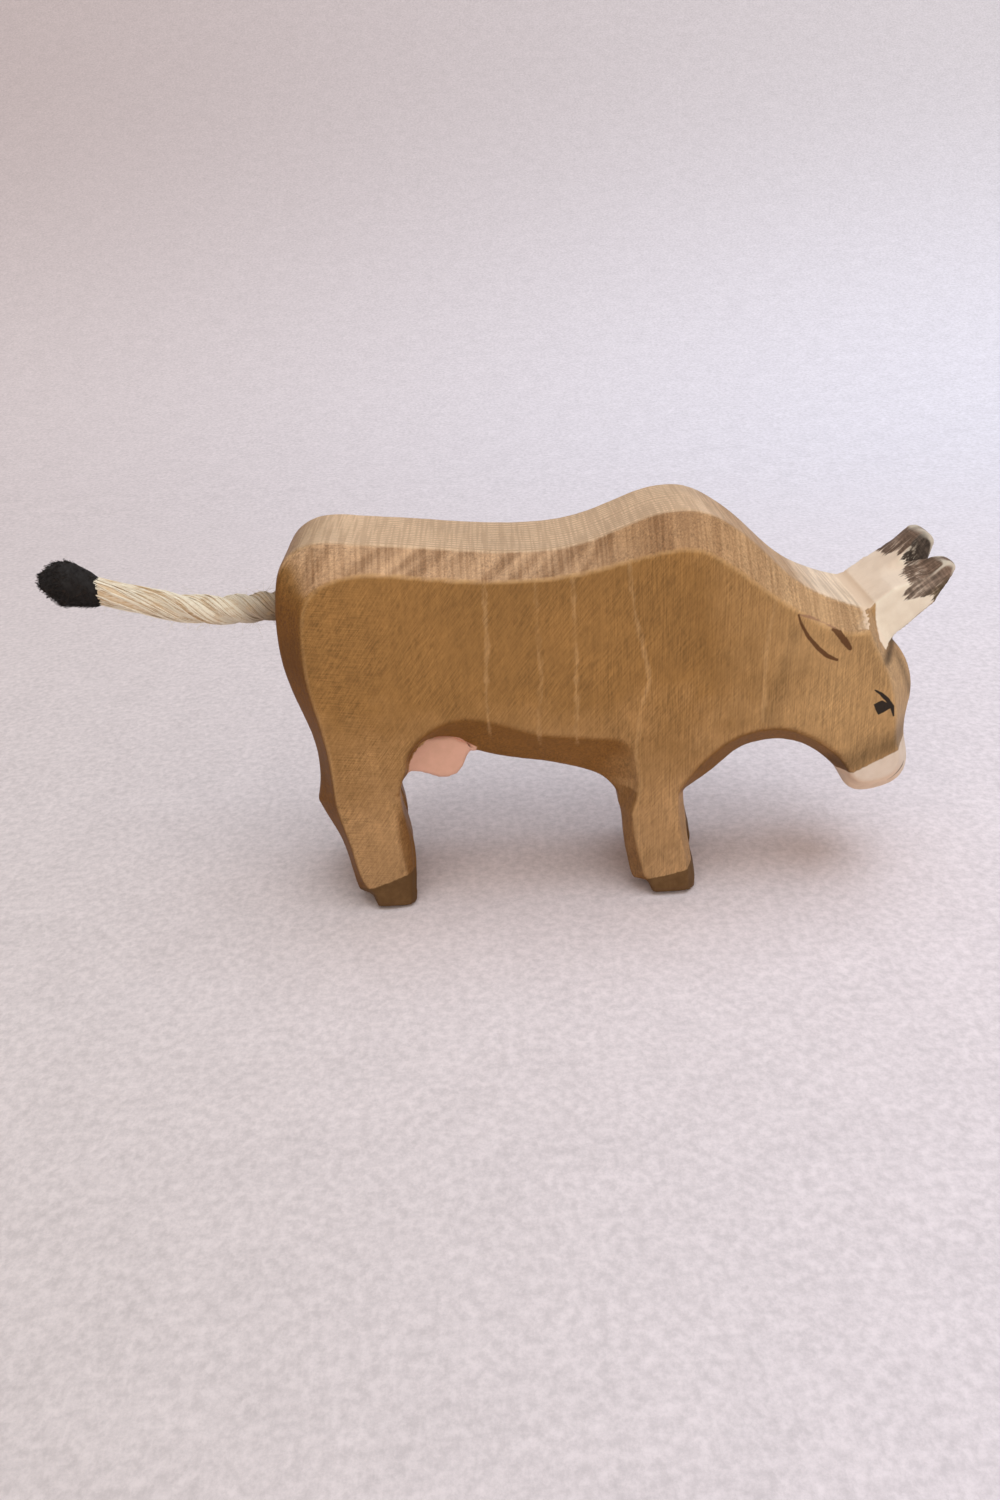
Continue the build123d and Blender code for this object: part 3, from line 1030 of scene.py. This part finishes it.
def endGrain(tree, w, place, faces):  # ring lines and rays on the back, slanting bands below it
    at = split(tree, place)
    bend = noiseOf(tree, place, (0.03, 0.08, 0.0), 2.0)
    turns = maths(tree, "DIVIDE", timesPlus(tree, bend, 5.0, at["Y"]), w["rings"])
    share = maths(tree, "FRACT", turns)
    line = times(tree, ramp(tree, share, 0.45, 0.8), ramp(tree, share, 1.0, 0.86))
    stretch = times(tree, ramp(tree, at["X"], -56.0, -44.0), ramp(tree, at["X"], 24.0, 8.0))
    dark = times(tree, line, faces["X"], stretch, w["ringStrength"])
    rays = noiseOf(tree, place, (1.75, 0.07, 0.035), 1.0, 0.4)
    rayShare = timesPlus(tree, plus(tree, faces["X"], faces["Y"]), 0.24, 0.05)
    dark = maths(tree, "MAXIMUM", dark, times(tree, ramp(tree, rays, 0.38, 0.62), rayShare))
    inward = minus(tree, carvedCow["plankHalf"], maths(tree, "ABSOLUTE", at["Y"]))
    lean = ramp(tree, at["X"], 4.0, -8.0, 0.0, -1.2)
    slant = timesPlus(tree, inward, lean, at["X"])
    spread = addNode(tree, "CombineXYZ", {"X": times(tree, slant, 0.19), "Y": times(tree, inward, 0.04)})
    bands = ramp(tree, noiseOf(tree, spread.outputs[0], 1.0, 1.0, 0.5), 0.4, 0.62)
    fewer = ramp(tree, at["X"], 22.0, 8.0, 0.25, 1.0)
    shown = times(tree, bands, faces["Y"], fewer, w["bandStrength"])
    return plus(tree, dark, shown)


def streakAway(tree, at, path):  # distance to one streak, whose place along the block is a curve
    curve = addNode(tree, "FloatCurve", {"Value": times(tree, at["Z"], 0.01)})
    points = curve.mapping.curves[0].points
    while len(points) < len(path):
        points.new(0.5, 0.5)
    for point, (z, x) in zip(points, path):
        point.location = (z * 0.01, x * 0.005 + 0.5)
        point.handle_type = "VECTOR"
    curve.mapping.update()
    middle = times(tree, minus(tree, curve.outputs[0], 0.5), 200.0)
    away = maths(tree, "ABSOLUTE", minus(tree, at["X"], middle))
    lowest = path[0][0]
    ended = ramp(tree, at["Z"], lowest + 3, lowest - 2, 0.0, 3.0)
    return plus(tree, away, ended)


def paleStreaks(tree, w, p, place, faces):  # mineral streaks down the flank
    at = split(tree, place)
    found = combined(tree, "MINIMUM", (streakAway(tree, at, path) for path in p["streaks"]))
    waver = noiseOf(tree, place, 0.35, 3.0, 0.6)
    found = timesPlus(tree, minus(tree, waver, 0.5), 1.8, found)
    drawnOut = addNode(tree, "Mapping", {"Vector": place, "Scale": (1.0, 1.0, 0.16)}).outputs[0]
    broken = noiseOf(tree, drawnOut, 1.3, 2.0)
    pale = times(tree, ramp(tree, found, 0.75, 0.05), ramp(tree, broken, 0.38, 0.6, 0.25, 1.0))
    return times(tree, pale, faces["Z"], w["streakStrength"])


def sandingMarks(tree, place):  # slanting everywhere, level near the rump, upright on the shoulder
    shares = splitField(tree, "markShares")
    sets = [  # lean, length, fineness, seed and strength
        (-0.61, 4.5, 3.0, 0.0, shares["X"]),
        (-0.72, 3.0, 5.0, 5.1, 0.6),
        (0.55, 3.5, 3.6, 7.3, 0.35),
        (1.45, 4.0, 3.4, 3.1, shares["Y"]),
        (0.0, 6.0, 3.2, 9.4, shares["Z"]),
    ]
    found = 0.0
    for lean, length, fine, seed, strength in sets:
        inputs = {"Place": place, "Lean": lean, "Length": length, "Fineness": fine, "Seed": seed}
        one = useGroup(tree, scratchGroup, inputs)["Marks"]
        found = timesPlus(tree, one, strength, found)
    return times(tree, found, ramp(tree, noiseOf(tree, place, 0.11, 2.0), 0.35, 0.65, 0.55, 1.0))


def wornAndHighlitEdges(tree, w, place, edge, colour):  # pale line where the flat side meets its bevels: part wear, part painted highlight
    uneven = ramp(tree, noiseOf(tree, place, 0.5, 2.0), 0.3, 0.6, 0.45, 0.9)
    worn = times(tree, ramp(tree, edge, 0.03, 0.075), readField(tree, "paleEdgeShare"), uneven)
    return blendColours(tree, worn, colour, w["paleLine"])


def broadPaint(tree, place, colour):  # udder, hooves, muzzle and the cream of the horns
    rough = noiseOf(tree, place, 1.2, 3.0, 0.6)
    cover = covers(tree, readField(tree, "paintReach"), rough, 0.6, 0.16)
    thin = ramp(tree, noiseOf(tree, place, 0.4, 3.0), 0.3, 0.7, 0.86, 0.99)
    painted = readField(tree, "paintTone", "Color")
    return blendColours(tree, times(tree, cover, thin), colour, painted), cover


def hornTips(tree, p, edge, colour):  # brown, dry brushed along the horns, with pale cross strokes
    own = readField(tree, "hornPlace", "Vector")
    reach = readField(tree, "tipReach")
    along = noiseOf(tree, own, (0.13, 1.6, 1.6), 3.0, 0.65)
    across = noiseOf(tree, own, (2.3, 0.5, 0.22), 2.0, 0.5)
    cover = covers(tree, reach, along, 5.0, 0.35)
    solid = ramp(tree, reach, -0.5, -4.5)
    dry = maths(tree, "MAXIMUM", ramp(tree, along, 0.68, 0.5, 0.4, 1.0), solid)
    tips = readField(tree, "tipTone", "Color")
    tips = brightened(tree, tips, ramp(tree, along, 0.3, 0.7, -0.42, 0.34))
    tips = brightened(tree, tips, ramp(tree, across, 0.42, 0.7, -0.06, 0.42))
    colour = blendColours(tree, times(tree, cover, dry), colour, tips)
    rubbed = times(tree, ramp(tree, edge, 0.03, 0.075), ramp(tree, reach, -5.0, -7.5), 0.6)
    return blendColours(tree, rubbed, colour, p["cream"])


def strokeDistance(tree, flat, path):
    def toLength(a, b):
        inputs = {"Place": flat, "Start": (a[0], a[1], 0), "End": (b[0], b[1], 0),
                  "Start Width": a[2], "End Width": b[2]}
        return useGroup(tree, strokeGroup, inputs)["Distance"]

    return combined(tree, "MINIMUM", (toLength(a, b) for a, b in zip(path, path[1:])))


def insideCorners(tree, flat, corners):  # corners clockwise; distance below zero inside
    def toEdge(a, b):
        length = math.hypot(b[0] - a[0], b[1] - a[1])
        across = (-(b[1] - a[1]) / length, (b[0] - a[0]) / length, 0)
        dot = vectors(tree, "DOT_PRODUCT", flat, across)["Value"]
        return minus(tree, dot, a[0] * across[0] + a[1] * across[1])

    edges = zip(corners, corners[1:] + corners[:1])
    return combined(tree, "MAXIMUM", (toEdge(a, b) for a, b in edges))


def faceMarks(tree, p, place, faces, colour):
    at = split(tree, place)
    flat = addNode(tree, "CombineXYZ", {"X": at["X"], "Y": at["Z"]}).outputs[0]
    onSide = ramp(tree, faces["Z"], 0.0, 0.3)
    rough = noiseOf(tree, place, 1.6, 3.0, 0.6)
    marks = [  # stroke, raggedness, softness, colour and strength
        ("earLine", 0.35, 0.18, "earFaint", 0.7),
        ("earLow", 0.28, 0.12, "ear", 0.9),
        ("earTop", 0.45, 0.14, "ear", 0.9),
        ("lash", 0.22, 0.08, "eye", 0.97),
        ("mouthLine", 0.3, 0.15, "mouth", 0.75),
    ]
    for stroke, ragged, soft, kind, strength in marks:
        distance = strokeDistance(tree, flat, p[stroke])
        if kind == "eye":
            distance = maths(tree, "MINIMUM", distance, insideCorners(tree, flat, p["pupil"]))
        cover = covers(tree, distance, rough, ragged, soft)
        shown = times(tree, cover, strength) if kind == "mouth" else times(tree, cover, onSide, strength)
        colour = blendColours(tree, shown, colour, p[kind])
    return colour


def woodMaterial(w, p):
    material, tree, shader = newMaterial("stainedMaple")
    place = millimetres(tree)
    faces = splitField(tree, "faces")
    edge = readField(tree, "edgeProudness")
    # stained wood, with painted shade on faces that look down and back, and painted sheen on the back
    # and chamfers
    colour = readField(tree, "tinting", "Color")
    colour = blendColours(tree, endGrain(tree, w, place, faces), colour, w["darkLine"])
    colour = blendColours(tree, paleStreaks(tree, w, p, place, faces), colour, w["paleLine"])
    marks = sandingMarks(tree, place)
    speck = ramp(tree, noiseOf(tree, place, 1.1, 3.0, 0.7), 0.3, 0.7, -1.0, 1.0)
    fibre = noiseOf(tree, place, (1.5, 1.5, 0.14), 3.0, 0.6)
    fibre = ramp(tree, fibre, 0.3, 0.7, -1.0, 1.0)
    texture = timesPlus(tree, marks, w["markStrength"], times(tree, speck, w["speckStrength"]))
    texture = timesPlus(tree, fibre, w["fibreStrength"], texture)
    calmer = minus(tree, 1.0, times(tree, faces["X"], w["calmerOnTop"]))
    colour = brightened(tree, colour, times(tree, texture, calmer))
    colour = wornAndHighlitEdges(tree, w, place, edge, colour)
    colour, painted = broadPaint(tree, place, colour)
    colour = hornTips(tree, p, edge, colour)
    colour = faceMarks(tree, p, place, faces, colour)
    rough = timesPlus(tree, marks, 0.03, w["rough"])
    height = timesPlus(tree, marks, 0.25, times(tree, fibre, 0.35))
    fill(tree, shader, {
        "Base Color": colour,
        "Roughness": timesPlus(tree, painted, 0.12, rough),
        "Specular IOR Level": 0.12,
        "Normal": relief(tree, height, 0.5, 0.00004),
    })
    return material


dress(cow, woodMaterial(woodColoursAndShade, paint))
print("wood finished")


# Rope and tuft finishes
ropeFinish = {
    "pale": tone(240, 230, 210),
    "tan": tone(204, 172, 130),
    "brown": tone(128, 96, 62),
}

tuftFinish = {
    "black": tone(20, 15, 12),
    "dusty": tone(52, 40, 32),
}


def ropeMaterial(s):
    material, tree, shader = newMaterial("naturalRope")
    place = millimetres(tree)
    parts = split(tree, place)
    fibreTone = readField(tree, "fibreTone")
    flecks = noiseOf(tree, place, (0.55, 3.0, 3.0), 4.0, 0.6)
    mixed = plus(tree, times(tree, fibreTone, 0.75), times(tree, flecks, 0.5))
    colour = blendColours(tree, ramp(tree, mixed, 0.3, 0.66), s["tan"], s["pale"])
    colour = blendColours(tree, times(tree, ramp(tree, mixed, 0.4, 0.22), 0.75), colour, s["brown"])
    # darker brown towards the rump
    darkerNearBody = ramp(tree, parts["X"], -80.0, -66.0)
    colour = blendColours(tree, times(tree, darkerNearBody, 0.8), colour, s["brown"])
    tinting = ramp(tree, noiseOf(tree, place, (0.3, 0.8, 0.8), 3.0), 0.5, 0.66)
    colour = blendColours(tree, times(tree, tinting, 0.38), colour, s["tan"])
    fill(tree, shader, {
        "Base Color": colour,
        "Roughness": 0.78,
        "Specular IOR Level": 0.25,
        "Sheen Weight": 0.15,
        "Normal": relief(tree, flecks, 0.5, 0.00005),
    })
    return material


def tuftMaterial(s):
    material, tree, shader = newMaterial("blackenedFibre")
    place = millimetres(tree)
    fibreTone = readField(tree, "fibreTone")
    clumps = noiseOf(tree, place, 1.1, 4.0, 0.6)
    mixed = plus(tree, times(tree, fibreTone, 0.4), times(tree, clumps, 0.8))
    colour = blendColours(tree, ramp(tree, mixed, 0.55, 0.95), s["black"], s["dusty"])
    fill(tree, shader, {
        "Base Color": colour,
        "Roughness": ramp(tree, clumps, 0.3, 0.7, 0.7, 0.9),
        "Specular IOR Level": 0.3,
        "Normal": relief(tree, clumps, 0.6, 0.0001),
    })
    return material


ropeLook = ropeMaterial(ropeFinish)
for piece in (rope, ropeEnd, hairs):
    dress(piece, ropeLook)
dress(blackTuft, tuftMaterial(tuftFinish))
print("tail coloured")


# Paper floor that curves up behind, with painted light: a cool pool of window light to the right, and
# painted falloff darker to the left and far back
paperFloor = {
    "front": -2.5,
    "bendStart": 0.3,
    "bendRadius": 1.5,
    "halfWidth": 2.6,
    "steps": 40,
    "tones": [  # left and right, from the front to the back: painted window light, cooler and brighter to the right, darker far back
        (tone(219, 208, 207), tone(235, 225, 230)),
        (tone(211, 199, 199), tone(235, 233, 245)),
        (tone(187, 173, 172), tone(211, 206, 212)),
    ],
}


def buildFloor(s):
    profile = [(s["front"], 0.0)]
    for i in range(s["steps"] + 1):
        angle = math.pi / 2 * i / s["steps"]
        profile.append((s["bendStart"] + s["bendRadius"] * math.sin(angle),
                        s["bendRadius"] * (1 - math.cos(angle))))
    bm = bmesh.new()
    rows = []
    for y, z in profile:
        rows.append([bm.verts.new((x, y, z)) for x in (-s["halfWidth"], s["halfWidth"])])
    for a, b in zip(rows, rows[1:]):
        bm.faces.new((a[0], a[1], b[1], b[0]))
    return pieceFrom(bm, "paperFloor")


def paperMaterial(s):
    material, tree, shader = newMaterial("palePaper")
    place = millimetres(tree)
    parts = split(tree, place)
    depth = maths(tree, "MAXIMUM", plus(tree, parts["Y"], 300.0), 150.0)
    fan = maths(tree, "DIVIDE", plus(tree, parts["X"], 20.0), depth)
    # painted light: cooler and brighter to the right, painted falloff darker far back
    windowLightRightward = ramp(tree, fan, -0.5, 0.5)
    rows = [blendColours(tree, windowLightRightward, *pair) for pair in s["tones"]]
    colour = blendColours(tree, ramp(tree, parts["Y"], -60.0, 420.0), rows[0], rows[1])
    colour = blendColours(tree, ramp(tree, parts["Y"], 420.0, 1150.0), colour, rows[2])
    fine = noiseOf(tree, place, 0.55, 6.0, 0.75)
    broad = noiseOf(tree, place, 0.09, 5.0, 0.7)
    small = ramp(tree, fine, 0.3, 0.7, -0.14, 0.11)
    grain = plus(tree, small, ramp(tree, broad, 0.3, 0.7, -0.03, 0.03))
    fill(tree, shader, {
        "Base Color": brightened(tree, colour, grain),
        "Roughness": 0.9,
        "Specular IOR Level": 0.15,
        "Normal": relief(tree, fine, 0.25, 0.0002),
    })
    return material


floor = buildFloor(paperFloor)
dress(floor, paperMaterial(paperFloor))
print("floor laid")


# Light: a wide cool window overhead, a wider warm one in front, and the pale room
lights = {
    "lamps": [  # name, where it shines from, its spread in degrees, strength and colour
        ("overhead", (0.12, 0.00, 1.00), 55.0, 1.76, (0.78, 0.895, 1.0)),
        ("inFront", (0.14, -0.85, 0.5), 100.0, 1.84, (1.0, 0.93, 0.86)),
    ],
    "room": (1.0, 0.76, 0.56),
    "roomStrength": 0.17,
    "seenRoom": tone(214, 206, 208),
}


def addLamp(name, away, spread, strength, colour):
    data = bpy.data.lights.new(name, "SUN")
    data.energy = strength
    data.angle = math.radians(spread)
    data.color = colour
    lamp = newObject(name, data)
    lamp.matrix_world = Vector(away).to_track_quat("Z", "Y").to_matrix().to_4x4()


def addRoom(s):  # lights the cow faintly, and looks like the paper behind the paper's edges
    world = bpy.data.worlds.new("room")
    scene.world = world
    world.use_nodes = True
    tree = world.node_tree
    tree.nodes.clear()
    path = addNode(tree, "LightPath").outputs
    seen = maths(tree, "MAXIMUM", path["Is Camera Ray"], path["Is Glossy Ray"])
    seen = maths(tree, "MAXIMUM", seen, path["Is Transmission Ray"])
    dim = addNode(tree, "Background", {"Color": (*s["room"], 1.0), "Strength": s["roomStrength"]})
    pale = addNode(tree, "Background", {"Color": s["seenRoom"], "Strength": 1.0})
    mixed = addNode(tree, "MixShader", {0: seen, 1: dim.outputs[0], 2: pale.outputs[0]})
    addNode(tree, "OutputWorld", {"Surface": mixed.outputs[0]})


for lamp in lights["lamps"]:
    addLamp(*lamp)
addRoom(lights)
scene.view_settings.view_transform = "Standard"
print("lights set")
